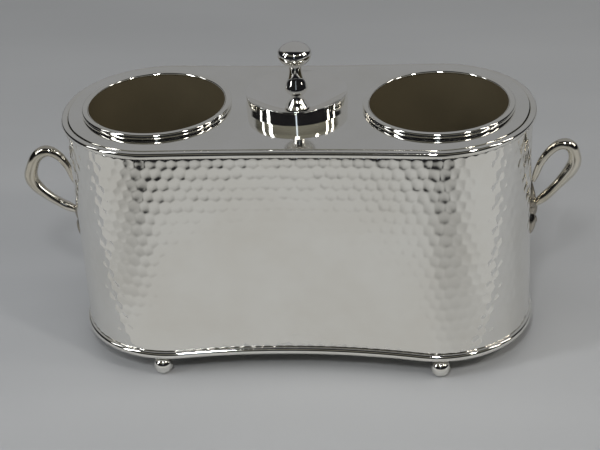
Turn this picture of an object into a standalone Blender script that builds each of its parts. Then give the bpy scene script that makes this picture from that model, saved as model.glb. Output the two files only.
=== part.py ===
"""Silver champagne bucket for two bottles, with a lidded ice chamber between the bottle wells.

The bucket stands on four ball feet with +Z up. X runs along its length, through both bottle
wells and both handles, and Y runs across it. The origin is on the table under the middle.
"""

import math

import bmesh
import bpy

MM = 0.001

# Clearance left between pieces that touch
GAP = 0.3 * MM

# Plan outline of the rim: round ends, tighter corners and long sides drawn in at the waist
HALF_LENGTH = 195.0 * MM
CORNER_X = 113.0 * MM
CORNER_Y = 3.7 * MM
CORNER_RADIUS = 81.5 * MM
TOP_WAIST = 82.8 * MM
FOOT_WAIST = 75.5 * MM
END_STEPS = 3
CORNER_STEPS = 12
WAIST_STEPS = 6

# Rim wire, deck and wall
DECK_TOP = 212.6 * MM
SHEET = 1.2 * MM
RIM_RADIUS = 3.1 * MM
WALL_INSET = 3.4 * MM

# Base strip and base plate
BASE_BOTTOM = 16.9 * MM
BASE_HEIGHT = 7.2 * MM
BASE_INSET = 1.2 * MM
BASE_WIDTH = 3.7 * MM
BASE_ROUNDING = 1.5 * MM
PLATE_BOTTOM = 19.0 * MM

# Bottle wells
WELL_X = 116.0 * MM
WELL_RADIUS = 56.5 * MM
WELL_SHEET = 1.0 * MM
WELL_BOTTOM = 30.0 * MM
COLLAR_HEIGHT = 4.6 * MM
COLLAR_RADIUS = 62.0 * MM
COLLAR_LIP = 1.4 * MM
WELL_STEPS = 36

# Ice opening
NECK_RADIUS = 34.0 * MM
NECK_SHEET = 1.0 * MM
NECK_BOTTOM = 200.0 * MM
NECK_TOP = 215.0 * MM
NECK_FLANGE = 35.9 * MM

# Ball feet
FOOT_X = 117.0 * MM
FOOT_Y = 75.0 * MM
FOOT_RADIUS = 8.25 * MM
FOOT_PAD = 2.6 * MM
FOOT_NECK = 3.2 * MM

# Studs and nuts of the feet and the knob
STUD_RADIUS = 2.0 * MM
NUT_RADIUS = 4.0 * MM
NUT_HEIGHT = 3.4 * MM
STUD_PAST_NUT = 1.2 * MM

# Handles: a rod that leaves the wall high up, loops out and returns to a leaf lower down.
# They are forged by hand, so the left loop reaches out further and lower than the right one.
LEAF_CENTRES = {"left": 118.0 * MM, "right": 122.5 * MM}
LEAF_THICKNESS = 4.0 * MM
HANDLE_ROUTES = {
    # out from the middle, height, rod radius
    "left": [
        (194.8, 146.6, 2.9),
        (198.6, 158.0, 3.4),
        (205.0, 167.4, 3.9),
        (212.8, 171.8, 4.5),
        (219.6, 170.2, 5.0),
        (225.0, 165.0, 5.2),
        (228.9, 156.9, 5.3),
        (231.0, 147.6, 5.8),
        (227.4, 138.6, 5.4),
        (218.6, 129.6, 4.6),
        (209.1, 122.8, 4.4),
        (202.6, 119.0, 4.6),
        (199.7, 117.2, 4.65),
    ],
    "right": [
        (194.8, 148.6, 2.9),
        (199.0, 160.2, 3.4),
        (205.8, 170.4, 3.8),
        (212.4, 176.0, 4.3),
        (218.6, 177.2, 4.8),
        (223.4, 174.4, 5.0),
        (225.8, 168.4, 5.2),
        (226.2, 160.8, 5.6),
        (222.9, 153.2, 5.5),
        (217.2, 145.4, 4.9),
        (210.1, 136.8, 4.4),
        (203.2, 129.4, 4.6),
        (199.9, 126.0, 4.65),
    ],
}
LEAF_HALF = [
    # half width, height above the leaf's centre
    (0.0, -20.5),
    (3.0, -21.0),
    (3.9, -17.0),
    (6.4, -26.5),
    (7.6, -19.0),
    (7.0, -13.0),
    (5.6, -8.0),
    (7.4, -3.0),
    (8.2, 2.0),
    (6.6, 6.0),
    (4.2, 10.0),
    (2.4, 15.0),
    (0.0, 22.0),
]

# Lid: a deep dish that hangs into the ice neck from a flared skirt, pushed a little to the back
LID_Y = 4.7 * MM
LID_FLOOR = 208.8 * MM
LID_RIM = 224.6 * MM
LID_RIM_RADIUS = 41.4 * MM
DISH_STEPS = 7
SKIRT_RADIUS = 42.3 * MM
WASHER_RADIUS = 7.0 * MM
WASHER_HEIGHT = 1.0 * MM

# Knob: an oblate ball on a waisted stem with one flare halfway down and another at its foot
KNOB_BALL_RADIUS = 13.9 * MM
KNOB_BALL_HALF_HEIGHT = 9.8 * MM
KNOB_BALL_CENTRE = 256.8 * MM
KNOB_STEM = [
    # radius, height
    (5.4, 247.4),
    (5.3, 244.0),
    (5.5, 240.0),
    (6.2, 236.4),
    (7.6, 233.0),
    (8.7, 230.0),
    (9.5, 227.2),
    (9.4, 225.6),
    (8.0, 223.4),
    (5.6, 221.6),
    (4.9, 220.0),
    (5.4, 218.0),
    (7.2, 215.6),
    (9.2, 212.8),
    (10.2, 210.9),
    (9.6, 210.3),
    (5.0, 209.8),
]

SIDES = {"left": -1, "right": 1}
ENDS = {"front": -1, "back": 1}


def clear_scene():
    for obj in list(bpy.data.objects):
        bpy.data.objects.remove(obj)


def metal(name, colour, roughness):
    """A polished or brushed metal surface."""
    material = bpy.data.materials.new(name)
    material.use_nodes = True
    shader = material.node_tree.nodes["Principled BSDF"]
    shader.inputs["Base Color"].default_value = (*colour, 1.0)
    shader.inputs["Metallic"].default_value = 1.0
    shader.inputs["Roughness"].default_value = roughness
    return material


def add(name, data, location=(0.0, 0.0, 0.0), rotation=(0.0, 0.0, 0.0)):
    """Place one named piece in the bucket's collection."""
    obj = bpy.data.objects.new(name, data)
    obj.location = location
    obj.rotation_euler = rotation
    bucket.objects.link(obj)
    return obj


def circle(centre_x, centre_y, radius, count):
    """Points round a circle, starting at +X."""
    angles = [2 * math.pi * step / count for step in range(count)]
    return [(centre_x + radius * math.cos(a), centre_y + radius * math.sin(a)) for a in angles]


def arc(centre_x, centre_y, radius, start, end, steps):
    """Points along an arc, without the one at its end."""
    angles = [start + (end - start) * step / steps for step in range(steps)]
    return [(centre_x + radius * math.cos(a), centre_y + radius * math.sin(a)) for a in angles]


def outline(waist, inset):
    """The bucket's plan outline, moved in by inset, where the waist is half its depth at x = 0.

    Each quarter is an end arc, a corner arc and a hollow waist arc, tangent to one another.
    """
    reach = HALF_LENGTH - CORNER_X
    end_radius = (reach**2 + CORNER_Y**2 - CORNER_RADIUS**2) / (2 * (reach - CORNER_RADIUS))
    end_x = HALF_LENGTH - end_radius
    rise = waist - CORNER_Y
    waist_radius = (CORNER_X**2 + rise**2 - CORNER_RADIUS**2) / (2 * (CORNER_RADIUS - rise))
    waist_y = waist + waist_radius
    end_turn = math.atan2(CORNER_Y, CORNER_X - end_x)
    corner_turn = math.atan2(waist_y - CORNER_Y, -CORNER_X)
    waist_turn = corner_turn - math.pi
    middle = -math.pi / 2
    quarter = arc(end_x, 0, end_radius - inset, 0, end_turn, END_STEPS)
    quarter += arc(CORNER_X, CORNER_Y, CORNER_RADIUS - inset, end_turn, corner_turn, CORNER_STEPS)
    quarter += arc(0, waist_y, waist_radius + inset, waist_turn, middle, WAIST_STEPS)
    quarter.append((0, waist - inset))
    back_half = quarter + [(-x, y) for x, y in reversed(quarter[:-1])]
    return back_half + [(x, -y) for x, y in reversed(back_half[1:-1])]


def turned(name, profile, steps, material, location=(0.0, 0.0, 0.0), closed=False):
    """A turned piece: (radius, height) points down its outer side, screwed about Z."""
    mesh = bpy.data.meshes.new(name)
    shape = bmesh.new()
    points = [shape.verts.new((radius, 0.0, height)) for radius, height in profile]
    for first, second in zip(points, points[1:]):
        shape.edges.new((first, second))
    if closed:
        shape.edges.new((points[-1], points[0]))
    shape.to_mesh(mesh)
    shape.free()
    mesh.materials.append(material)
    obj = add(name, mesh, location)
    screw = obj.modifiers.new("turning", "SCREW")
    screw.steps = steps
    screw.render_steps = steps
    screw.use_merge_vertices = True
    screw.merge_threshold = 0.0001 * MM
    screw.use_smooth_shade = True
    return obj


def flat(name, loops, bottom, thickness, material):
    """A flat sheet or strip: the first loop is its edge and the others are holes."""
    curve = bpy.data.curves.new(name, "CURVE")
    curve.dimensions = "2D"
    curve.fill_mode = "BOTH"
    curve.extrude = thickness / 2
    for loop in loops:
        spline = curve.splines.new("POLY")
        spline.points.add(len(loop) - 1)
        for point, (x, y) in zip(spline.points, loop):
            point.co = (x, y, 0.0, 1.0)
        spline.use_cyclic_u = True
    curve.materials.append(material)
    return add(name, curve, (0.0, 0.0, bottom + thickness / 2))


def rounded(obj, width, segments):
    """Round the sharp edges of a flat piece."""
    weld = obj.modifiers.new("weld caps", "WELD")
    weld.merge_threshold = 0.01 * MM
    bevel = obj.modifiers.new("rounding", "BEVEL")
    bevel.width = width
    bevel.segments = segments
    bevel.angle_limit = math.radians(60)


def build_wall():
    """The tapering wall sheet between the base strip and the rim wire."""
    material = metal("wall_silver", (0.82, 0.81, 0.77), 0.14)
    mesh = bpy.data.meshes.new("body_wall")
    shape = bmesh.new()
    top = DECK_TOP - 2 * RIM_RADIUS - GAP
    foot = BASE_BOTTOM + BASE_HEIGHT + GAP
    edges = []
    for waist, height in ((FOOT_WAIST, foot), (TOP_WAIST, top)):
        ring = [shape.verts.new((x, y, height)) for x, y in outline(waist, WALL_INSET)]
        edges += [shape.edges.new(pair) for pair in zip(ring, ring[1:] + ring[:1])]
    bmesh.ops.bridge_loops(shape, edges=edges)
    bmesh.ops.recalc_face_normals(shape, faces=shape.faces)
    shape.to_mesh(mesh)
    shape.free()
    mesh.materials.append(material)
    mesh.shade_smooth()
    wall = add("body_wall", mesh)
    solid = wall.modifiers.new("sheet", "SOLIDIFY")
    solid.thickness = SHEET
    solid.offset = -1.0


def build_base():
    """The strip round the foot of the wall, and the plate that closes the bottom."""
    strip_metal = metal("base_strip_silver", (0.80, 0.79, 0.75), 0.10)
    plate_metal = metal("base_plate_silver", (0.70, 0.69, 0.66), 0.35)
    inner = BASE_INSET + BASE_WIDTH
    loops = [outline(FOOT_WAIST, BASE_INSET), outline(FOOT_WAIST, inner)]
    strip = flat("base_moulding", loops, BASE_BOTTOM, BASE_HEIGHT, strip_metal)
    rounded(strip, BASE_ROUNDING, 2)
    loops = [outline(FOOT_WAIST, inner + GAP)]
    for x in (-FOOT_X, FOOT_X):
        for y in (-FOOT_Y, FOOT_Y):
            loops.append(circle(x, y, STUD_RADIUS + GAP, 12))
    flat("base_plate", loops, PLATE_BOTTOM, SHEET, plate_metal)


def build_rim():
    """The round wire along the top of the wall."""
    curve = bpy.data.curves.new("rim_moulding", "CURVE")
    curve.dimensions = "3D"
    curve.bevel_depth = RIM_RADIUS
    curve.bevel_resolution = 2
    spline = curve.splines.new("POLY")
    points = outline(TOP_WAIST, RIM_RADIUS)
    spline.points.add(len(points) - 1)
    for point, (x, y) in zip(spline.points, points):
        point.co = (x, y, 0.0, 1.0)
    spline.use_cyclic_u = True
    spline.use_smooth = True
    curve.materials.append(metal("rim_silver", (0.82, 0.81, 0.77), 0.08))
    add("rim_moulding", curve, (0.0, 0.0, DECK_TOP - RIM_RADIUS))


def build_deck():
    """The flat top sheet, cut for the two bottle wells and the ice opening."""
    loops = [outline(TOP_WAIST, 2 * RIM_RADIUS + GAP)]
    for x in (-WELL_X, WELL_X):
        loops.append(circle(x, 0.0, WELL_RADIUS + WELL_SHEET + GAP, WELL_STEPS))
    loops.append(circle(0.0, 0.0, NECK_RADIUS + NECK_SHEET + GAP, WELL_STEPS))
    flat("deck_plate", loops, DECK_TOP - SHEET, SHEET, metal("deck_silver", (0.84, 0.83, 0.80), 0.06))


def build_well(side, sign):
    """A bottle well: its tube, its floor disc and the collar over the tube's mouth."""
    x = sign * WELL_X
    outer = WELL_RADIUS + WELL_SHEET
    collar_top = DECK_TOP + GAP + COLLAR_HEIGHT
    tube_top = collar_top - COLLAR_LIP - GAP
    tube = [
        (outer, tube_top),
        (outer, WELL_BOTTOM),
        (WELL_RADIUS, WELL_BOTTOM),
        (WELL_RADIUS, tube_top),
    ]
    tube_metal = metal(f"well_{side}_silver", (0.60, 0.59, 0.54), 0.30)
    turned(f"well_tube_{side}", tube, WELL_STEPS, tube_metal, (x, 0.0, 0.0), closed=True)

    floor_bottom = WELL_BOTTOM + GAP
    floor_radius = WELL_RADIUS - GAP
    floor = [
        (0.0, floor_bottom + SHEET),
        (floor_radius, floor_bottom + SHEET),
        (floor_radius, floor_bottom),
        (0.0, floor_bottom),
    ]
    floor_metal = metal(f"well_floor_{side}_silver", (0.60, 0.59, 0.54), 0.35)
    turned(f"well_floor_{side}", floor, WELL_STEPS, floor_metal, (x, 0.0, 0.0))

    seat = DECK_TOP + GAP
    bead = (COLLAR_RADIUS - WELL_RADIUS) / 2
    middle = WELL_RADIUS + bead
    shoulder = collar_top - bead
    collar = [
        (middle + bead * math.cos(angle), shoulder + bead * math.sin(angle))
        for angle in [math.radians(45 * step) for step in range(4, -1, -1)]
    ]
    collar += [
        (COLLAR_RADIUS, seat),
        (outer + GAP, seat),
        (outer + GAP, tube_top + GAP),
        (WELL_RADIUS, tube_top + GAP),
    ]
    collar_metal = metal(f"collar_{side}_silver", (0.84, 0.83, 0.80), 0.07)
    turned(f"well_collar_{side}", collar, WELL_STEPS, collar_metal, (x, 0.0, 0.0), closed=True)


def build_ice_neck():
    """The short neck that lines the ice opening and keeps the lid over it."""
    outer = NECK_RADIUS + NECK_SHEET
    seat = DECK_TOP + GAP
    profile = [
        (NECK_RADIUS, NECK_TOP),
        (outer, NECK_TOP),
        (outer, seat + SHEET),
        (NECK_FLANGE, seat + SHEET),
        (NECK_FLANGE, seat),
        (outer, seat),
        (outer, NECK_BOTTOM),
        (NECK_RADIUS, NECK_BOTTOM),
    ]
    turned("ice_collar", profile, WELL_STEPS, metal("neck_silver", (0.75, 0.74, 0.70), 0.20), closed=True)


def build_nut(name, x, y, bottom, material):
    """A hexagon nut with a clear hole for its stud."""
    loops = [circle(x, y, NUT_RADIUS, 6), circle(x, y, STUD_RADIUS + GAP, 12)]
    flat(name, loops, bottom, NUT_HEIGHT, material)


def build_feet():
    """Four ball feet, each with a stud through the base plate and a nut above it."""
    ball_metal = metal("foot_silver", (0.82, 0.81, 0.77), 0.10)
    nut_metal = metal("foot_nut_metal", (0.62, 0.55, 0.38), 0.35)
    plate_top = PLATE_BOTTOM + SHEET
    nut_bottom = plate_top + GAP
    stud_top = nut_bottom + NUT_HEIGHT + STUD_PAST_NUT
    neck_turn = math.acos(FOOT_NECK / FOOT_RADIUS)
    pad_turn = -math.acos(FOOT_PAD / FOOT_RADIUS)
    shrink = FOOT_RADIUS * math.sin(-pad_turn)
    ball_steps = 8
    profile = [
        (0.0, stud_top),
        (STUD_RADIUS, stud_top),
        (STUD_RADIUS, PLATE_BOTTOM - GAP),
        (FOOT_NECK, PLATE_BOTTOM - GAP),
    ]
    for step in range(ball_steps + 1):
        turn = neck_turn + (pad_turn - neck_turn) * step / ball_steps
        profile.append((FOOT_RADIUS * math.cos(turn), shrink + FOOT_RADIUS * math.sin(turn)))
    profile.append((0.0, 0.0))
    for end, y_sign in ENDS.items():
        for side, x_sign in SIDES.items():
            x = x_sign * FOOT_X
            y = y_sign * FOOT_Y
            turned(f"foot_{end}_{side}", profile, 20, ball_metal, (x, y, 0.0))
            build_nut(f"foot_nut_{end}_{side}", x, y, nut_bottom, nut_metal)


def build_handle(side, sign):
    """A looped rod handle and the leaf that carries its lower end on the wall."""
    curve = bpy.data.curves.new(f"handle_{side}", "CURVE")
    curve.dimensions = "3D"
    curve.bevel_depth = MM
    curve.bevel_resolution = 2
    curve.use_fill_caps = True
    curve.resolution_u = 3
    curve.render_resolution_u = 3
    spline = curve.splines.new("BEZIER")
    route = HANDLE_ROUTES[side]
    spline.bezier_points.add(len(route) - 1)
    for point, (out, height, radius) in zip(spline.bezier_points, route):
        point.co = (sign * out * MM, 0.0, height * MM)
        point.radius = radius
        point.handle_left_type = "AUTO"
        point.handle_right_type = "AUTO"
    curve.materials.append(metal(f"handle_{side}_silver", (0.82, 0.81, 0.77), 0.12))
    add(f"handle_{side}", curve)

    half = [(width * MM, height * MM) for width, height in LEAF_HALF]
    leaf = half + [(-x, y) for x, y in reversed(half[1:-1])]
    leaf_metal = metal(f"leaf_{side}_silver", (0.80, 0.79, 0.75), 0.14)
    mount = flat(f"handle_mount_{side}", [leaf], 0.0, LEAF_THICKNESS, leaf_metal)
    wall_x = HALF_LENGTH - WALL_INSET + GAP
    mount.location = (sign * (wall_x + LEAF_THICKNESS / 2), 0.0, LEAF_CENTRES[side])
    mount.rotation_euler = (math.pi / 2, 0.0, sign * math.pi / 2)


def dish_height(radius):
    """Height of the lid's hollow top at a distance from its middle."""
    return LID_FLOOR + (LID_RIM - LID_FLOOR) * (radius / LID_RIM_RADIUS) ** 2


def build_lid():
    """The dished lid, its ball knob, and the washer and nut that hold the knob from below."""
    place = (0.0, LID_Y, 0.0)
    under = LID_FLOOR - SHEET
    skirt_bottom = DECK_TOP + GAP + 0.1 * MM
    hole = STUD_RADIUS + GAP
    crease = LID_RIM_RADIUS - SHEET
    spots = [hole + (crease - hole) * step / DISH_STEPS for step in range(DISH_STEPS + 1)]
    cap = [(radius, dish_height(radius)) for radius in spots]
    cap += [
        (LID_RIM_RADIUS - 0.3 * MM, LID_RIM),
        (LID_RIM_RADIUS, LID_RIM - 0.3 * MM),
        (SKIRT_RADIUS, skirt_bottom),
        (SKIRT_RADIUS - SHEET, skirt_bottom),
    ]
    cap += [(radius, dish_height(radius) - SHEET) for radius in reversed(spots)]
    cap_metal = metal("lid_silver", (0.84, 0.83, 0.80), 0.07)
    turned("lid_cap", cap, WELL_STEPS, cap_metal, place, closed=True)

    foot = LID_FLOOR + 2 * GAP
    washer_top = under - GAP
    nut_bottom = washer_top - WASHER_HEIGHT - GAP - NUT_HEIGHT
    stud_bottom = nut_bottom - STUD_PAST_NUT
    lowest_turn = math.acos(KNOB_STEM[0][0] * MM / KNOB_BALL_RADIUS)
    ball_steps = 11
    knob = [(0.0, KNOB_BALL_CENTRE + KNOB_BALL_HALF_HEIGHT)]
    for step in range(1, ball_steps):
        turn = math.pi / 2 - (math.pi / 2 + lowest_turn) * step / ball_steps
        height = KNOB_BALL_CENTRE + KNOB_BALL_HALF_HEIGHT * math.sin(turn)
        knob.append((KNOB_BALL_RADIUS * math.cos(turn), height))
    knob += [(radius * MM, height * MM) for radius, height in KNOB_STEM]
    knob += [(KNOB_STEM[-1][0] * MM, foot), (STUD_RADIUS, foot)]
    knob += [(STUD_RADIUS, stud_bottom), (0.0, stud_bottom)]
    turned("lid_knob", knob, 28, metal("knob_silver", (0.84, 0.83, 0.80), 0.06), place)

    fixing_metal = metal("knob_fixing_metal", (0.62, 0.55, 0.38), 0.35)
    rings = [circle(0.0, LID_Y, WASHER_RADIUS, 24), circle(0.0, LID_Y, STUD_RADIUS + GAP, 12)]
    flat("knob_washer", rings, washer_top - WASHER_HEIGHT, WASHER_HEIGHT, fixing_metal)
    build_nut("knob_nut", 0.0, LID_Y, nut_bottom, fixing_metal)


clear_scene()
bucket = bpy.data.collections.new("champagne_bucket")
bpy.context.scene.collection.children.link(bucket)
build_wall()
build_base()
build_rim()
build_deck()
build_ice_neck()
build_feet()
for side_name, side_sign in SIDES.items():
    build_well(side_name, side_sign)
    build_handle(side_name, side_sign)
build_lid()
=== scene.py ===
"""Looks of the silver champagne bucket: fine geometry, materials, light and camera round the CAD frame."""

import math

import bmesh
import bpy
import numpy as np
from mathutils import Matrix, Vector


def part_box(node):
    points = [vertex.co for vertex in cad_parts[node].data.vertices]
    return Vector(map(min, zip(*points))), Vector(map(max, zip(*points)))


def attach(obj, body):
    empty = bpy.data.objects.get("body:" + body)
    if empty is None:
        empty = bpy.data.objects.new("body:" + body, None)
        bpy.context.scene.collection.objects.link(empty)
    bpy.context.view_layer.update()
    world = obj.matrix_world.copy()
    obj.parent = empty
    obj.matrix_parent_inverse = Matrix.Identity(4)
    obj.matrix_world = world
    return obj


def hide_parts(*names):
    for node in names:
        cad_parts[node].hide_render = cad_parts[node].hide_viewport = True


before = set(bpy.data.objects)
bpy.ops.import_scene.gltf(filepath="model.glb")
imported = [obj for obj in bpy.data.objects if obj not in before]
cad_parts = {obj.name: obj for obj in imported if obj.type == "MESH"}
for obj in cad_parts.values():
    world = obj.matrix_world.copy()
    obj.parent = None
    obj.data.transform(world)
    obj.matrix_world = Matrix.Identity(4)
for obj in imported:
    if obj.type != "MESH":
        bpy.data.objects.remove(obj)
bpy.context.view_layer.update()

MM = 0.001

# Levels and sizes read from the CAD frame, in metres
wall_low, wall_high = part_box("body_wall")
rim_low, rim_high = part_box("rim_moulding")
strip_low, strip_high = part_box("base_moulding")
deck_low, deck_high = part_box("deck_plate")
DECK_TOP = deck_high.z
HALF_LENGTH = rim_high.x
RIM_RADIUS = (rim_high.z - rim_low.z) / 2
WALL_X = wall_high.x
WALL_INSET = HALF_LENGTH - WALL_X
STRIP_INSET = HALF_LENGTH - strip_high.x
STRIP_DEPTH = 3.7 * MM

# Plan outline: round ends, tighter corners, and long sides drawn in at the waist
CORNER_X = 113.0 * MM
CORNER_Y = 3.7 * MM
CORNER_RADIUS = 81.5 * MM
TOP_WAIST = 82.8 * MM
FOOT_WAIST = 75.5 * MM
OUTLINE_POINTS = 480

# Hammer marks on the wall: size, radius of the hammer's face, how crisp their edges are, where a
# hollow ends, and how far the first row stands below its own middle
MARK_WIDTH = 9.0 * MM
MARK_HEIGHT = 9.9 * MM
MARK_CURVE = 25.0 * MM
MARK_CRISPNESS = 34.0
MARK_REACH = 0.36
MARK_LIFT = 0.15
MARK_SEED = 7
STEPS_PER_MARK = 8
WALL_SHEET = 0.9 * MM

# The marks are shallower below the first few rows
DEEP_ROWS = 42.0 * MM
SHALLOW = 0.74

# The wall's upper edge leans in under the rim wire
LEAN_BAND = 4.5 * MM
LEAN = 42.0

# Small turned parts
GAP = 0.3 * MM
SHEET = 1.2 * MM
WELL_SHEET = 1.0 * MM
COLLAR_LIP = 1.4 * MM
NECK_RADIUS = 34.0 * MM
NECK_EDGE = 0.3 * MM
STUD_RADIUS = 2.0 * MM
FOOT_NECK = 3.2 * MM
FOOT_PAD = 2.6 * MM
FOOT_SEAT = 18.7 * MM

# Lid: a deep dish inside a flared skirt (build_lid names a fault in how low the skirt reaches)
LID_FLOOR = 208.8 * MM
LID_RIM_RADIUS = 41.4 * MM
LID_BEAD = 0.45 * MM

# Knob: an oblate ball over a waisted stem that flares halfway down and again at its foot;
# radius and height of the stem, in millimetres
BALL_HALF_HEIGHT = 9.8 * MM
KNOB_STEM = [
    (5.4, 247.6),
    (5.3, 246.4),
    (5.3, 244.0),
    (5.4, 241.6),
    (5.7, 239.0),
    (6.2, 236.4),
    (7.0, 234.2),
    (8.0, 232.0),
    (8.8, 229.8),
    (9.4, 227.9),
    (9.5, 226.7),
    (9.1, 225.2),
    (7.9, 223.5),
    (6.3, 222.1),
    (5.3, 221.0),
    (4.9, 220.0),
    (5.0, 219.0),
    (5.6, 217.6),
    (6.9, 215.7),
    (8.3, 213.9),
    (9.5, 212.2),
    (10.1, 211.1),
    (9.9, 210.5),
    (9.0, 210.2),
    (5.0, 209.8),
]

# Handles, forged by hand: out from the middle, height and rod radius, in millimetres
HANDLE_ROUTES = {
    "left": [
        (193.3, 140.6, 1.3),
        (194.8, 146.6, 2.7),
        (198.6, 158.0, 3.2),
        (205.0, 167.4, 3.9),
        (212.8, 171.8, 4.6),
        (219.6, 170.2, 5.0),
        (225.0, 165.0, 4.9),
        (228.9, 156.9, 5.1),
        (231.0, 147.6, 5.8),
        (227.4, 138.6, 5.3),
        (218.6, 129.6, 4.3),
        (209.1, 122.8, 4.0),
        (202.6, 119.0, 4.2),
        (198.2, 116.6, 3.6),
        (194.4, 114.6, 2.4),
    ],
    "right": [
        (193.3, 142.6, 1.3),
        (194.8, 148.6, 2.7),
        (199.0, 160.2, 3.2),
        (205.8, 170.4, 3.7),
        (212.4, 176.0, 4.2),
        (218.6, 177.2, 4.8),
        (223.4, 174.4, 4.9),
        (225.8, 168.4, 4.9),
        (226.2, 160.8, 5.6),
        (222.9, 153.2, 5.6),
        (217.2, 145.4, 4.7),
        (210.1, 136.8, 4.1),
        (203.2, 129.4, 4.2),
        (198.6, 125.0, 3.6),
        (194.6, 121.2, 2.4),
    ],
}

# Leaf under each handle: petals from a root to a tip, with half width and thickness, and where
# along the petal it is widest. Across and up are measured from the leaf's middle, in millimetres.
LEAF_PETALS = [
    # root across and up, tip across and up, half width, thickness, widest share
    ((0.0, -2.0), (0.0, 22.0), 3.6, 4.0, 0.24),
    ((0.0, 9.0), (0.0, -17.0), 5.4, 5.6, 0.50),
    ((0.0, -5.0), (0.0, -22.5), 4.2, 5.6, 0.62),
    ((0.0, -6.0), (7.8, 6.5), 3.2, 3.8, 0.60),
    ((0.0, -6.0), (-7.8, 6.5), 3.2, 3.8, 0.60),
    ((2.0, -4.0), (7.2, -26.0), 3.0, 4.2, 0.50),
    ((-2.0, -4.0), (-7.2, -26.0), 3.0, 4.2, 0.50),
]
PETAL_BACK = 0.8
LEAF_VOXEL = 0.45 * MM
LEAF_RISE = 2.25 * MM

# Viewpoint: turn and height of the camera about the target, roll, distance and lens
AZIMUTH = math.radians(7.135)
ELEVATION = math.radians(29.52)
ROLL = math.radians(-3.391)
DISTANCE = 1.4319
TARGET = Vector((-0.0031, 0.0, 0.1005))
LENS = 100.9

# Colours of the room by how steeply one looks up, and where the backdrop sets in: along Y, and
# sooner the higher one looks
ROOM_STOPS = [
    (0.0, (0.010, 0.010, 0.012)),
    (0.46, (0.012, 0.012, 0.013)),
    (0.56, (0.17, 0.165, 0.135)),
    (0.66, (0.17, 0.165, 0.135)),
    (0.74, (0.012, 0.012, 0.013)),
    (1.0, (0.010, 0.010, 0.012)),
]
BACKDROP = (0.275, 0.278, 0.283)
BACKDROP_SLANT = 1.0
BACKDROP_RISE = (0.72, 0.86)

FLOOR_SPAN = (-6.0, 6.0)

# The painted reflection card: a plane that glows and shows only in reflections. It stands in for the
# mirrored cloth from its far end to the bucket's foot, pale near the foot and dimming into a dark room; it
# runs on further before the waist and beyond the corners
CARD_X = (-2.5, 2.5)
CARD_Y = (-3.0, -0.10)
CARD_HEIGHT = 2.0 * MM
CARD_END = -1.0
MIDDLE_SHIFT = 0.40
SIDE_SHIFT = 0.60
PAINTED_REFLECTION_STOPS = [
    (0.0, (0.010, 0.010, 0.012)),
    (0.36, (0.012, 0.012, 0.013)),
    (0.46, (0.16, 0.16, 0.155)),
    (0.64, (0.32, 0.32, 0.31)),
    (1.0, (0.45, 0.45, 0.44)),
]

# Soft panels: name, azimuth (0 is the front, 90 the +X side), elevation, distance, width, height,
# power and colour
LIGHTS = [
    ("window_left", -61.0, 30.0, 2.2, 0.22, 1.40, 10.0, (0.95, 0.97, 1.0)),
    ("window_far_left", -82.0, 30.0, 2.2, 0.16, 0.80, 1.5, (0.95, 0.97, 1.0)),
    ("door_gap", 3.0, 28.0, 2.2, 0.10, 1.05, 0.35, (0.75, 0.86, 1.0)),
    ("lamp_middle", 3.0, 44.0, 2.2, 0.25, 0.25, 10.0, (1.0, 1.0, 1.0)),
    ("lamp_right", 52.0, 42.0, 2.2, 0.18, 0.24, 5.5, (1.0, 0.97, 0.92)),
    ("lamp_side_right", 77.0, 30.0, 2.2, 0.12, 1.00, 3.2, (1.0, 0.96, 0.90)),
    ("lamp_far_right", 93.0, 28.0, 2.2, 0.14, 0.90, 2.5, (1.0, 0.95, 0.88)),
    ("top_soft", 10.0, 75.0, 2.6, 1.2, 1.2, 7.9, (1.0, 1.0, 1.0)),
]
LIGHT_AIM = Vector((0.0, 0.0, 0.12))


# ---------------------------------------------------------------- outline and surfaces

def quarter_outline(waist, inset, shares):
    """Positions and outward normals along one quarter, from the end towards the waist."""
    reach = HALF_LENGTH - CORNER_X
    end_radius = (reach**2 + CORNER_Y**2 - CORNER_RADIUS**2) / (2 * (reach - CORNER_RADIUS))
    end_x = HALF_LENGTH - end_radius
    rise = waist - CORNER_Y
    waist_radius = (CORNER_X**2 + rise**2 - CORNER_RADIUS**2) / (2 * (CORNER_RADIUS - rise))
    waist_y = waist + waist_radius
    end_turn = math.atan2(CORNER_Y, CORNER_X - end_x)
    corner_turn = math.atan2(waist_y - CORNER_Y, -CORNER_X)
    arcs = [
        (end_x, 0.0, end_radius, 0.0, end_turn, 1.0),
        (CORNER_X, CORNER_Y, CORNER_RADIUS, end_turn, corner_turn, 1.0),
        (0.0, waist_y, waist_radius, corner_turn - math.pi, -math.pi / 2, -1.0),
    ]
    lengths = [radius * abs(end - start) for _, _, radius, start, end, _ in arcs]
    joints = np.cumsum([0.0] + lengths) / sum(lengths)
    points = np.zeros((len(shares), 2))
    normals = np.zeros((len(shares), 2))
    for index, (centre_x, centre_y, radius, start, end, sense) in enumerate(arcs):
        inside = (shares >= joints[index]) & (shares <= joints[index + 1])
        part = (shares[inside] - joints[index]) / (joints[index + 1] - joints[index])
        turn = start + (end - start) * part
        aim = np.column_stack([np.cos(turn), np.sin(turn)])
        points[inside] = np.array([centre_x, centre_y]) + (radius - inset * sense) * aim
        normals[inside] = sense * aim
    return points, normals, sum(lengths)


def ring(waist, inset, count):
    """Count points round the whole outline, with their outward normals, and its length."""
    place = np.arange(count) * 4.0 / count
    quarter = np.floor(place).astype(int) % 4
    share = place - np.floor(place)
    share = np.where(quarter % 2 == 1, 1.0 - share, share)
    points, normals, length = quarter_outline(waist, inset, share)
    flip_x = np.where((quarter == 1) | (quarter == 2), -1.0, 1.0)
    flip_y = np.where(quarter >= 2, -1.0, 1.0)
    flip = np.column_stack([flip_x, flip_y])
    return points * flip, normals * flip, 4 * length


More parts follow.
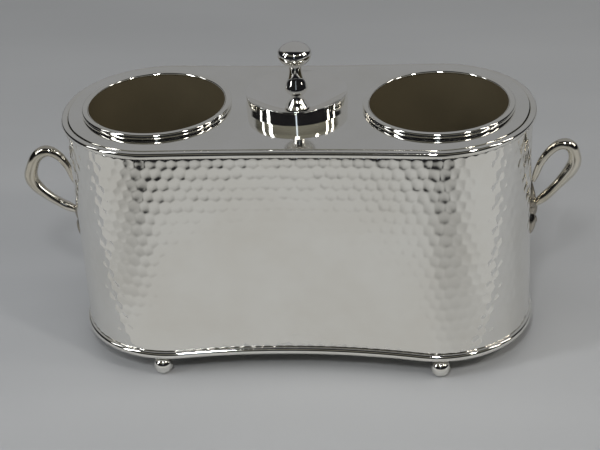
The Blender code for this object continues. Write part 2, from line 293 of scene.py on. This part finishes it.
def grid_mesh(name, rows, closed_across=False, smooth_angle=40.0):
    """A mesh over closed rows of points, each joined to the next, with doubled points merged."""
    rows = np.asarray(rows, dtype=float)
    row_count, column_count, _ = rows.shape
    index = np.arange(row_count * column_count).reshape(row_count, column_count)
    if closed_across:
        index = np.concatenate([index, index[:1]])
    index = np.concatenate([index, index[:, :1]], axis=1)
    faces = np.stack([index[:-1, :-1], index[:-1, 1:], index[1:, 1:], index[1:, :-1]], axis=-1)
    mesh = bpy.data.meshes.new(name)
    mesh.from_pydata(rows.reshape(-1, 3).tolist(), [], faces.reshape(-1, 4).tolist())
    shape = bmesh.new()
    shape.from_mesh(mesh)
    bmesh.ops.remove_doubles(shape, verts=shape.verts, dist=0.001 * MM)
    bmesh.ops.recalc_face_normals(shape, faces=shape.faces)
    shape.to_mesh(mesh)
    shape.free()
    mesh.shade_smooth()
    mesh.set_sharp_from_angle(angle=math.radians(smooth_angle))
    return mesh


def turned(name, profile, centre=(0.0, 0.0), steps=160, closed=False):
    """A turned mesh from (radius, height) points that run down its outer side."""
    profile = np.asarray(profile, dtype=float)
    turns = np.arange(steps) * 2 * math.pi / steps
    rows = np.stack([
        centre[0] + profile[:, :1] * np.cos(turns),
        centre[1] + profile[:, :1] * np.sin(turns),
        np.repeat(profile[:, 1:], steps, axis=1),
    ], axis=-1)
    return grid_mesh(name, rows, closed_across=closed)


def soft_curve(points, steps):
    """Extra points on a smooth curve through the given ones."""
    points = np.asarray(points, dtype=float)
    ends = np.concatenate([2 * points[:1] - points[1:2], points, 2 * points[-1:] - points[-2:-1]])
    fine = []
    for before, start, end, after in zip(ends, ends[1:], ends[2:], ends[3:]):
        for step in range(steps):
            t = step / steps
            fine.append(0.5 * (
                2 * start + (end - before) * t
                + (2 * before - 5 * start + 4 * end - after) * t**2
                + (3 * start - before - 3 * end + after) * t**3
            ))
    fine.append(points[-1])
    return np.asarray(fine)


def piece(name, data, body, material, replaces):
    """Link a new piece, give it its material and let it ride on its body."""
    obj = bpy.data.objects.new(name, data)
    bpy.context.scene.collection.objects.link(obj)
    data.materials.append(material)
    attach(obj, body)
    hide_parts(*replaces)
    return obj


def node_centre(node):
    low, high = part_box(node)
    return (low + high) / 2


# ---------------------------------------------------------------- materials

def colour_socket(sockets, name):
    return next(socket for socket in sockets if socket.name == name and socket.type == "RGBA")


class Nodes:
    """A short way to write a material's node tree."""

    def __init__(self, name):
        self.material = bpy.data.materials.new(name)
        self.material.use_nodes = True
        self.tree = self.material.node_tree
        self.shader = self.tree.nodes["Principled BSDF"]
        self.coords = self.tree.nodes.new("ShaderNodeTexCoord").outputs["Object"]

    def link(self, source, target):
        self.tree.links.new(source, target)

    def noise(self, scale, detail, rough, stretch=(1.0, 1.0, 1.0)):
        mapping = self.tree.nodes.new("ShaderNodeMapping")
        mapping.inputs["Scale"].default_value = stretch
        self.link(self.coords, mapping.inputs["Vector"])
        node = self.tree.nodes.new("ShaderNodeTexNoise")
        node.inputs["Scale"].default_value = scale
        node.inputs["Detail"].default_value = detail
        node.inputs["Roughness"].default_value = rough
        self.link(mapping.outputs["Vector"], node.inputs["Vector"])
        return node.outputs["Fac"]

    def span(self, source, low, high, low_value, high_value):
        node = self.tree.nodes.new("ShaderNodeMapRange")
        node.inputs["From Min"].default_value = low
        node.inputs["From Max"].default_value = high
        node.inputs["To Min"].default_value = low_value
        node.inputs["To Max"].default_value = high_value
        self.link(source, node.inputs["Value"])
        return node.outputs["Result"]

    def maths(self, operation, source, value):
        node = self.tree.nodes.new("ShaderNodeMath")
        node.operation = operation
        self.link(source, node.inputs[0])
        if isinstance(value, float):
            node.inputs[1].default_value = value
        else:
            self.link(value, node.inputs[1])
        return node.outputs["Value"]

    def mix(self, factor, first, second):
        node = self.tree.nodes.new("ShaderNodeMix")
        node.data_type = "RGBA"
        colour_socket(node.inputs, "A").default_value = (*first, 1.0)
        colour_socket(node.inputs, "B").default_value = (*second, 1.0)
        self.link(factor, node.inputs["Factor"])
        return colour_socket(node.outputs, "Result")

    def bump(self, source, strength, distance, below=None):
        node = self.tree.nodes.new("ShaderNodeBump")
        node.inputs["Strength"].default_value = strength
        node.inputs["Distance"].default_value = distance
        self.link(source, node.inputs["Height"])
        if below:
            self.link(below, node.inputs["Normal"])
        self.link(node.outputs["Normal"], self.shader.inputs["Normal"])
        return node.outputs["Normal"]


def silver(name, bright, dull, rough_low, rough_high, scratch=0.04, grain=(1.0, 1.0, 6.0), wave=0.0):
    """Silver plate: faint tarnish clouds, rubbed patches, hairline scratches and uneven sheet."""
    made = Nodes(name)
    made.shader.inputs["Metallic"].default_value = 1.0
    clouds = made.noise(14.0, 4.0, 0.6)
    colour = made.mix(made.span(clouds, 0.35, 0.7, 0.0, 1.0), bright, dull)
    made.link(colour, made.shader.inputs["Base Color"])
    specks = made.noise(160.0, 3.0, 0.6)
    rough = made.span(specks, 0.3, 0.75, rough_low, rough_high)
    made.link(rough, made.shader.inputs["Roughness"])
    sheet = None
    if wave:
        sheet = made.bump(made.noise(9.0, 1.0, 0.4), 1.0, wave)
    made.bump(made.noise(90.0, 5.0, 0.7, grain), scratch, 0.05 * MM, sheet)
    return made.material


polished = silver("polished_silver", (0.93, 0.92, 0.88), (0.86, 0.84, 0.78), 0.035, 0.09)
deck_polish = silver("deck_silver", (0.93, 0.92, 0.89), (0.88, 0.87, 0.82), 0.05, 0.10, wave=0.25 * MM)
hammered = silver("hammered_silver", (0.93, 0.92, 0.885), (0.88, 0.86, 0.81), 0.08, 0.15)
knob_polish = silver("knob_silver", (0.94, 0.93, 0.90), (0.88, 0.86, 0.81), 0.02, 0.05)
handle_silver = silver("handle_silver", (0.78, 0.75, 0.68), (0.62, 0.57, 0.46), 0.05, 0.12)
# The leaf's dark colour is a painted reflection of the dark room in front of it
leaf_painted_dark = silver("leaf_silver_painted_dark", (0.46, 0.43, 0.38), (0.24, 0.21, 0.16), 0.10, 0.20, 0.20)
lining = silver("lining_silver", (0.215, 0.180, 0.112), (0.19, 0.16, 0.10), 0.34, 0.40, 0.10,
                (1.0, 1.0, 22.0))
lining.node_tree.nodes["Principled BSDF"].inputs["Metallic"].default_value = 0.45
brushed = silver("brushed_silver", (0.66, 0.65, 0.60), (0.55, 0.53, 0.47), 0.25, 0.40, 0.25,
                 (1.0, 9.0, 1.0))
brass = silver("nut_brass", (0.66, 0.56, 0.33), (0.50, 0.42, 0.25), 0.25, 0.40, 0.2)


# ---------------------------------------------------------------- the body

def hammer_hollow(along, rise, pitch, marks, nudge, weight):
    """How deep the hammer left the sheet at one height: round hollows, each row half a mark on."""
    nearness = np.zeros(len(along))
    row_here = int(rise / MARK_HEIGHT)
    for row in range(max(0, row_here - 1), row_here + 3):
        first = np.floor(along / pitch - 0.5 * (row % 2)).astype(int)
        for step in (-1, 0, 1, 2):
            mark = (first + step) % marks
            centre = (first + step + 0.5 * (row % 2) + nudge[row, mark, 0]) * pitch
            middle = (row - MARK_LIFT + nudge[row, mark, 1]) * MARK_HEIGHT
            reach = ((along - centre) / pitch) ** 2 + ((rise - middle) / MARK_HEIGHT) ** 2
            nearness += np.exp(-MARK_CRISPNESS * reach * weight[row, mark])
    share = -np.log(nearness) / MARK_CRISPNESS
    return np.minimum(share - MARK_REACH, 0.0) * pitch * MARK_HEIGHT / (2 * MARK_CURVE)


def build_wall():
    """The hammered wall, tapering to the foot at its waist."""
    perimeter = ring(TOP_WAIST, WALL_INSET, 8)[2]
    marks = 2 * round(perimeter / MARK_WIDTH / 2)
    columns = marks * STEPS_PER_MARK
    height = wall_high.z - wall_low.z
    levels = round(height / MARK_HEIGHT * STEPS_PER_MARK)
    pitch = perimeter / marks
    mark_rows = math.ceil(height / MARK_HEIGHT) + 3
    chance = np.random.default_rng(MARK_SEED)
    nudge = chance.normal(0.0, 0.075, (mark_rows, marks, 2)).clip(-0.18, 0.18)
    weight = chance.normal(1.0, 0.11, (mark_rows, marks)).clip(0.75, 1.3)

    top, normals, _ = ring(TOP_WAIST, WALL_INSET, columns)
    foot, _, _ = ring(FOOT_WAIST, WALL_INSET, columns)
    along = np.arange(columns) * perimeter / columns
    rows = []
    for level in range(levels + 1):
        share = level / levels
        rise = share * height
        depth = hammer_hollow(along, rise, pitch, marks, nudge, weight)
        upper = min(max((rise - height + DEEP_ROWS) / (2 * MARK_HEIGHT) + 0.5, 0.0), 1.0)
        depth *= SHALLOW + (1.0 - SHALLOW) * upper
        depth -= LEAN * max(0.0, rise - height + LEAN_BAND) ** 2
        spot = foot + (top - foot) * share + normals * depth[:, None]
        rows.append(np.column_stack([spot, np.full(columns, wall_low.z + rise)]))
    mesh = grid_mesh("hammered_wall", rows, smooth_angle=60.0)
    wall = piece(mesh.name, mesh, "bucket", hammered, ["body_wall"])
    solid = wall.modifiers.new("sheet", "SOLIDIFY")
    solid.thickness = WALL_SHEET
    solid.offset = -1.0


def section_sweep(name, waist, section):
    """A moulding: (inset, height) points of its section carried round the outline."""
    rows = []
    for inset, height in section:
        points = ring(waist, inset, OUTLINE_POINTS)[0]
        rows.append(np.column_stack([points, np.full(OUTLINE_POINTS, height)]))
    return grid_mesh(name, rows, closed_across=True, smooth_angle=35.0)


def build_mouldings():
    """The round rim wire, and the half-round strip at the foot."""
    centre = DECK_TOP - RIM_RADIUS
    turns = np.linspace(0, 2 * math.pi, 28, endpoint=False)
    rim = [(RIM_RADIUS * (1 - math.cos(turn)), centre + RIM_RADIUS * math.sin(turn)) for turn in turns]
    mesh = section_sweep("rim_wire", TOP_WAIST, rim)
    piece(mesh.name, mesh, "bucket", polished, ["rim_moulding"])

    half = (strip_high.z - strip_low.z) / 2
    middle = (strip_high.z + strip_low.z) / 2
    turns = np.linspace(-math.pi / 2, math.pi / 2, 17)
    strip = []
    for turn in turns:
        inset = STRIP_INSET + STRIP_DEPTH * (1 - math.cos(turn))
        strip.append((inset, middle + half * math.sin(turn)))
    mesh = section_sweep("base_strip", FOOT_WAIST, strip)
    piece(mesh.name, mesh, "bucket", polished, ["base_moulding"])


def build_deck():
    """The flat deck sheet with its three openings."""
    curve = bpy.data.curves.new("deck_pattern", "CURVE")
    curve.dimensions = "2D"
    curve.fill_mode = "BOTH"
    curve.extrude = (deck_high.z - deck_low.z) / 2
    loops = [ring(TOP_WAIST, 2 * RIM_RADIUS, 360)[0].tolist()]
    well_low, well_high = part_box("well_tube_left")
    well_hole = (well_high.x - well_low.x) / 2 + GAP
    neck_hole = NECK_RADIUS + WELL_SHEET + GAP
    holes = {"well_tube_left": well_hole, "well_tube_right": well_hole, "ice_collar": neck_hole}
    for node, radius in holes.items():
        centre = node_centre(node)
        turns = np.arange(144) * 2 * math.pi / 144
        loops.append(np.column_stack([centre.x + radius * np.cos(turns), radius * np.sin(turns)]).tolist())
    for loop in loops:
        spline = curve.splines.new("POLY")
        spline.points.add(len(loop) - 1)
        for point, (x, y) in zip(spline.points, loop):
            point.co = (x, y, 0.0, 1.0)
        spline.use_cyclic_u = True
    pattern = bpy.data.objects.new("deck_pattern", curve)
    bpy.context.scene.collection.objects.link(pattern)
    bpy.context.view_layer.update()
    mesh = bpy.data.meshes.new_from_object(pattern.evaluated_get(bpy.context.evaluated_depsgraph_get()))
    bpy.data.objects.remove(pattern)
    mesh.materials.clear()
    mesh.name = "deck_sheet"
    mesh.transform(Matrix.Translation((0.0, 0.0, (deck_high.z + deck_low.z) / 2)))
    mesh.shade_flat()
    piece(mesh.name, mesh, "bucket", deck_polish, ["deck_plate"])


def build_well(side):
    """A bottle well: lining tube, floor, and the rounded collar over its mouth."""
    low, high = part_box(f"well_tube_{side}")
    centre = (node_centre(f"well_tube_{side}").x, 0.0)
    outer = (high.x - low.x) / 2
    inner = outer - WELL_SHEET
    tube = [(outer, high.z), (outer, low.z)]
    tube += [(inner, level) for level in np.linspace(low.z, high.z, 25)]
    mesh = turned(f"well_lining_{side}", tube, centre, closed=True)
    piece(mesh.name, mesh, "bucket", lining, [f"well_tube_{side}"])

    low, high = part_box(f"well_floor_{side}")
    radius = (high.x - low.x) / 2
    floor = [(radius * step / 12, high.z) for step in range(13)] + [(radius, low.z), (0.0, low.z)]
    mesh = turned(f"well_base_{side}", floor, centre)
    piece(mesh.name, mesh, "bucket", lining, [f"well_floor_{side}"])

    low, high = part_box(f"well_collar_{side}")
    reach = (high.x - low.x) / 2
    bead = (reach - inner) / 2
    collar = []
    for turn in np.linspace(math.pi, 0.0, 19):
        collar.append((inner + bead * (1 + math.cos(turn)), high.z - bead + bead * math.sin(turn)))
    collar += [
        (reach, low.z + 0.6 * MM),
        (reach - GAP, low.z),
        (outer + GAP, low.z),
        (outer + GAP, high.z - COLLAR_LIP),
        (inner, high.z - COLLAR_LIP),
    ]
    mesh = turned(f"well_bead_{side}", collar, centre, steps=192, closed=True)
    piece(mesh.name, mesh, "bucket", polished, [f"well_collar_{side}"])


def build_neck():
    """The flanged neck of the ice opening, under the lid."""
    low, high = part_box("ice_collar")
    outer = NECK_RADIUS + WELL_SHEET
    seat = DECK_TOP + GAP
    profile = [
        (NECK_RADIUS, high.z - NECK_EDGE),
        (NECK_RADIUS + NECK_EDGE, high.z),
        (outer - NECK_EDGE, high.z),
        (outer, high.z - NECK_EDGE),
        (outer, seat + SHEET),
        (high.x, seat + SHEET),
        (high.x, seat),
        (outer, seat),
        (outer, low.z),
        (NECK_RADIUS, low.z),
    ]
    mesh = turned("ice_neck", profile, closed=True)
    piece(mesh.name, mesh, "bucket", lining, ["ice_collar"])


def build_feet():
    """Ball feet, each with a short neck and its stud."""
    for end in ("front", "back"):
        for side in ("left", "right"):
            node = f"foot_{end}_{side}"
            low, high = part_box(node)
            ball = (high.x - low.x) / 2
            pad = math.asin(FOOT_PAD / ball)
            neck = math.asin(FOOT_NECK / ball)
            rise = ball * math.cos(pad)
            profile = [
                (0.0, high.z),
                (STUD_RADIUS, high.z),
                (STUD_RADIUS, FOOT_SEAT),
                (FOOT_NECK, FOOT_SEAT),
            ]
            for turn in np.linspace(neck, math.pi - pad, 25):
                profile.append((ball * math.sin(turn), rise + ball * math.cos(turn)))
            profile.append((0.0, low.z))
            mesh = turned(f"ball_{node}", profile, node_centre(node)[:2], steps=64)
            piece(mesh.name, mesh, "bucket", polished, [node])


# ---------------------------------------------------------------- lid and knob

def build_lid():
    """The loose lid: a hollow dished top, a narrow rolled edge and a flared skirt."""
    low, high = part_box("lid_cap")
    centre = node_centre("lid_cap")[:2]
    skirt = (high.x - low.x) / 2
    hole = STUD_RADIUS + GAP
    crease = LID_RIM_RADIUS - 2 * LID_BEAD
    rise = high.z - 0.15 * MM - LID_FLOOR
    spots = np.linspace(hole, crease, 24)
    dish = LID_FLOOR + rise * (spots / crease) ** 2
    outer = list(zip(spots, dish))
    for turn in np.linspace(math.radians(-50), math.radians(90), 7):
        across = LID_RIM_RADIUS - LID_BEAD + LID_BEAD * math.sin(turn)
        outer.append((across, high.z - LID_BEAD + LID_BEAD * math.cos(turn)))
    # Known fault: low.z is the underside of the dish, about 5 mm below the edge of the CAD skirt,
    # so at rest this skirt runs through the deck. Its edge belongs just above the top of the deck.
    outer += [
        (LID_RIM_RADIUS + 0.25 * MM, high.z - 4.0 * MM),
        (skirt - 0.35 * MM, low.z + 3.0 * MM),
        (skirt, low.z + 0.5 * MM),
        (skirt - 0.2 * MM, low.z),
        (skirt - SHEET, low.z),
    ]
    under = list(zip(spots[::-1], dish[::-1] - SHEET))
    mesh = turned("lid_dish", outer + under, centre, steps=224, closed=True)
    piece(mesh.name, mesh, "lid", knob_polish, ["lid_cap"])


def build_knob():
    """The turned knob, with the stud that goes through the lid."""
    low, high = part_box("lid_knob")
    ball = (high.x - low.x) / 2
    middle = high.z - BALL_HALF_HEIGHT
    join = math.pi / 2 + math.acos(KNOB_STEM[0][0] * MM / ball)
    profile = []
    for turn in np.linspace(0.0, join, 34)[:-1]:
        profile.append((ball * math.sin(turn), middle + BALL_HALF_HEIGHT * math.cos(turn)))
    profile += (soft_curve(KNOB_STEM, 4) * MM).tolist()
    foot = LID_FLOOR + 2 * GAP
    profile += [(KNOB_STEM[-1][0] * MM, foot), (STUD_RADIUS, foot), (STUD_RADIUS, low.z), (0.0, low.z)]
    mesh = turned("ball_knob", profile, node_centre("lid_knob")[:2], steps=128)
    piece(mesh.name, mesh, "lid", knob_polish, ["lid_knob"])


# ---------------------------------------------------------------- handles

def build_handle(side, sign):
    """A forged rod: slim where it leaves the wall and thick at its outer bend."""
    fine = soft_curve(HANDLE_ROUTES[side], 8) * MM
    path = np.column_stack([sign * fine[:, 0], np.zeros(len(fine)), fine[:, 1]])
    along = np.gradient(path, axis=0)
    along /= np.linalg.norm(along, axis=1)[:, None]
    across = np.column_stack([-along[:, 2], np.zeros(len(path)), along[:, 0]])
    turns = np.arange(32) * 2 * math.pi / 32
    depth = np.array([0.0, 1.0, 0.0])
    rows = [np.repeat(path[:1], len(turns), axis=0)]
    for spot, normal, radius in zip(path, across, fine[:, 2]):
        rows.append(spot + radius * (np.cos(turns)[:, None] * normal + np.sin(turns)[:, None] * depth))
    rows.append(np.repeat(path[-1:], len(turns), axis=0))
    mesh = grid_mesh(f"loop_handle_{side}", rows)
    piece(mesh.name, mesh, "bucket", handle_silver, [f"handle_{side}"])


def petal_rows(root, tip, half_width, thickness, widest):
    """Rings of one petal, as across, up and out from the wall, flat against the wall."""
    root, tip = np.array(root), np.array(tip)
    length = np.linalg.norm(tip - root)
    along = (tip - root) / length
    across = np.array([along[1], -along[0]])
    turns = np.arange(24) * 2 * math.pi / 24
    power = math.log(0.5) / math.log(widest)
    rows = []
    for share in np.linspace(0.0, 1.0, 26):
        swell = math.sin(math.pi * share**power) ** 0.8 if 0.0 < share < 1.0 else 0.0
        spot = root + along * length * share
        flat_part = spot + across * half_width * swell * np.cos(turns)[:, None]
        out = np.maximum(thickness * swell * np.sin(turns), -PETAL_BACK)
        rows.append(np.column_stack([flat_part, out]))
    return rows


def build_leaf(side, sign):
    """The leaf that carries the handle's lower end, its petals fused into one casting."""
    node = f"handle_mount_{side}"
    middle = node_centre(node)
    shape = bmesh.new()
    for petal in LEAF_PETALS:
        rows = []
        for points in petal_rows(*petal):
            spots = points * MM
            rows.append(np.column_stack([
                sign * (WALL_X - 0.2 * MM + spots[:, 2]),
                spots[:, 0],
                middle.z + LEAF_RISE + spots[:, 1],
            ]))
        part = grid_mesh("petal", rows)
        shape.from_mesh(part)
        bpy.data.meshes.remove(part)
    mesh = bpy.data.meshes.new(f"leaf_{side}")
    shape.to_mesh(mesh)
    shape.free()
    # Dark leaf silver: painted reflection of the dark room
    leaf = piece(mesh.name, mesh, "bucket", leaf_painted_dark, [node])
    fuse = leaf.modifiers.new("fuse", "REMESH")
    fuse.mode = "VOXEL"
    fuse.voxel_size = LEAF_VOXEL
    fuse.use_smooth_shade = True
    soften = leaf.modifiers.new("soften", "SMOOTH")
    soften.factor = 0.5
    soften.iterations = 3


# ---------------------------------------------------------------- stage, light and camera

def plane(name, x_span, y_span, height, material):
    """A level plane that isn't part of the object."""
    mesh = bpy.data.meshes.new(name)
    left, right = x_span
    front, back = y_span
    corners = [(left, front), (right, front), (right, back), (left, back)]
    mesh.from_pydata([(x, y, height) for x, y in corners], [], [(0, 1, 2, 3)])
    mesh.materials.append(material)
    obj = bpy.data.objects.new(name, mesh)
    bpy.context.scene.collection.objects.link(obj)
    return obj


def fill_ramp(ramp, stops):
    """Set a colour ramp's stops; the first is at 0 and the last at 1."""
    for share, colour in stops[1:-1]:
        ramp.elements.new(share).color = (*colour, 1.0)
    ramp.elements[0].color = (*stops[0][1], 1.0)
    ramp.elements[-1].color = (*stops[-1][1], 1.0)


def cloth_material():
    """Pale grey cloth with painted fold shade, faint creases and a fine weave."""
    made = Nodes("pale_cloth")
    made.shader.inputs["Roughness"].default_value = 0.9
    made.shader.inputs["Specular IOR Level"].default_value = 0.1
    # Lighter and darker streaks in the cloth's colour along its folds are painted shade
    painted_fold_shade = made.noise(3.0, 2.0, 0.5, (0.6, 1.6, 1.0))
    colour = made.mix(made.span(painted_fold_shade, 0.3, 0.7, 0.0, 1.0), (0.50, 0.51, 0.52), (0.55, 0.56, 0.57))
    made.link(colour, made.shader.inputs["Base Color"])
    creases = made.bump(made.noise(5.0, 2.0, 0.5, (0.5, 2.2, 1.0)), 0.5, 4.0 * MM)
    made.bump(made.noise(900.0, 2.0, 0.5), 0.15, 0.4 * MM, creases)
    return made.material


def painted_reflection_material():
    """A painted reflection: a card that glows, seen only in reflections, with pale cloth that dims and
    then ends in a dark room.
    """
    made = Nodes("painted_reflection_card")
    made.shader.inputs["Base Color"].default_value = (0.0, 0.0, 0.0, 1.0)
    made.shader.inputs["Specular IOR Level"].default_value = 0.0
    made.shader.inputs["Emission Strength"].default_value = 1.0
    split = made.tree.nodes.new("ShaderNodeSeparateXYZ")
    made.link(made.coords, split.inputs["Vector"])
    sideways = made.maths("ABSOLUTE", made.maths("ADD", split.outputs["X"], 0.05), 0.0)
    middle = made.span(sideways, 0.07, 0.20, MIDDLE_SHIFT, 0.0)
    longer = made.maths("ADD", middle, made.span(sideways, 0.28, 0.50, 0.0, SIDE_SHIFT))
    depth = made.span(made.maths("ADD", split.outputs["Y"], longer), CARD_END, 0.0, 0.0, 1.0)
    ramp = made.tree.nodes.new("ShaderNodeValToRGB")
    fill_ramp(ramp.color_ramp, PAINTED_REFLECTION_STOPS)
    made.link(depth, ramp.inputs["Fac"])
    made.link(ramp.outputs["Color"], made.shader.inputs["Emission Color"])
    return made.material


def area_light(name, azimuth, elevation, distance, width, height, power, colour):
    """A soft panel aimed at the bucket."""
    turn, lift = math.radians(azimuth), math.radians(elevation)
    away = Vector((math.sin(turn) * math.cos(lift), -math.cos(turn) * math.cos(lift), math.sin(lift)))
    data = bpy.data.lights.new(name, "AREA")
    data.shape = "RECTANGLE"
    data.size = width
    data.size_y = height
    data.energy = power
    data.color = colour
    obj = bpy.data.objects.new(name, data)
    obj.location = LIGHT_AIM + away * distance
    obj.rotation_mode = "QUATERNION"
    obj.rotation_quaternion = (-away).to_track_quat("-Z", "Y")
    bpy.context.scene.collection.objects.link(obj)


def build_world():
    """A dim room in front, with a paler band part way up, and a pale backdrop behind the bucket."""
    world = bpy.data.worlds.new("studio")
    bpy.context.scene.world = world
    world.use_nodes = True
    tree = world.node_tree
    coords = tree.nodes.new("ShaderNodeTexCoord")
    split = tree.nodes.new("ShaderNodeSeparateXYZ")
    tree.links.new(coords.outputs["Generated"], split.inputs["Vector"])
    room = tree.nodes.new("ShaderNodeValToRGB")
    fill_ramp(room.color_ramp, ROOM_STOPS)
    tree.links.new(split.outputs["Z"], room.inputs["Fac"])
    lifted = tree.nodes.new("ShaderNodeMath")
    lifted.operation = "MULTIPLY_ADD"
    lifted.inputs[1].default_value = BACKDROP_SLANT
    tree.links.new(split.outputs["Z"], lifted.inputs[0])
    tree.links.new(split.outputs["Y"], lifted.inputs[2])
    share = tree.nodes.new("ShaderNodeMapRange")
    share.inputs["From Min"].default_value = BACKDROP_RISE[0]
    share.inputs["From Max"].default_value = BACKDROP_RISE[1]
    tree.links.new(lifted.outputs["Value"], share.inputs["Value"])
    mix = tree.nodes.new("ShaderNodeMix")
    mix.data_type = "RGBA"
    tree.links.new(room.outputs["Color"], colour_socket(mix.inputs, "A"))
    colour_socket(mix.inputs, "B").default_value = (*BACKDROP, 1.0)
    tree.links.new(share.outputs["Result"], mix.inputs["Factor"])
    tree.links.new(colour_socket(mix.outputs, "Result"), tree.nodes["Background"].inputs["Color"])


def build_camera():
    """The viewpoint: in front, a little to the +X side, looking down, with a slight roll."""
    data = bpy.data.cameras.new("camera")
    data.lens = LENS
    data.sensor_width = 36.0
    data.clip_start = 0.05
    data.clip_end = 50.0
    camera = bpy.data.objects.new("camera", data)
    bpy.context.scene.collection.objects.link(camera)
    back = Vector((
        math.sin(AZIMUTH) * math.cos(ELEVATION),
        -math.cos(AZIMUTH) * math.cos(ELEVATION),
        math.sin(ELEVATION),
    ))
    camera.location = TARGET + back * DISTANCE
    right = Vector((math.cos(AZIMUTH), math.sin(AZIMUTH), 0.0))
    up = back.cross(right)
    rolled_right = right * math.cos(ROLL) + up * math.sin(ROLL)
    rolled_up = up * math.cos(ROLL) - right * math.sin(ROLL)
    camera.rotation_mode = "QUATERNION"
    camera.rotation_quaternion = Matrix((rolled_right, rolled_up, back)).transposed().to_quaternion()
    bpy.context.scene.camera = camera
    bpy.context.scene.view_settings.view_transform = "Standard"


def use_material(nodes, material):
    """Give CAD nodes whose shape is right their finished material."""
    for node in nodes:
        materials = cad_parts[node].data.materials
        materials.clear()
        materials.append(material)


use_material(["base_plate"], brushed)
use_material([f"foot_nut_{end}_{side}" for end in ("front", "back") for side in ("left", "right")], brass)
use_material(["knob_washer", "knob_nut"], brass)

build_wall()
build_mouldings()
build_deck()
build_neck()
build_lid()
build_knob()
build_feet()
for handle_side, handle_sign in (("left", -1.0), ("right", 1.0)):
    build_well(handle_side)
    build_handle(handle_side, handle_sign)
    build_leaf(handle_side, handle_sign)

plane("floor", FLOOR_SPAN, FLOOR_SPAN, 0.0, cloth_material())
# The card glows but is no lamp; it shows only in reflections, as a painted reflection of cloth and a dark
# room
card = plane("painted_reflection_card", CARD_X, CARD_Y, CARD_HEIGHT, painted_reflection_material())
card.visible_camera = False
card.visible_diffuse = False
card.visible_shadow = False
card.visible_transmission = False
build_world()
for panel in LIGHTS:
    area_light(*panel)
bpy.data.objects["top_soft"].visible_glossy = False
build_camera()
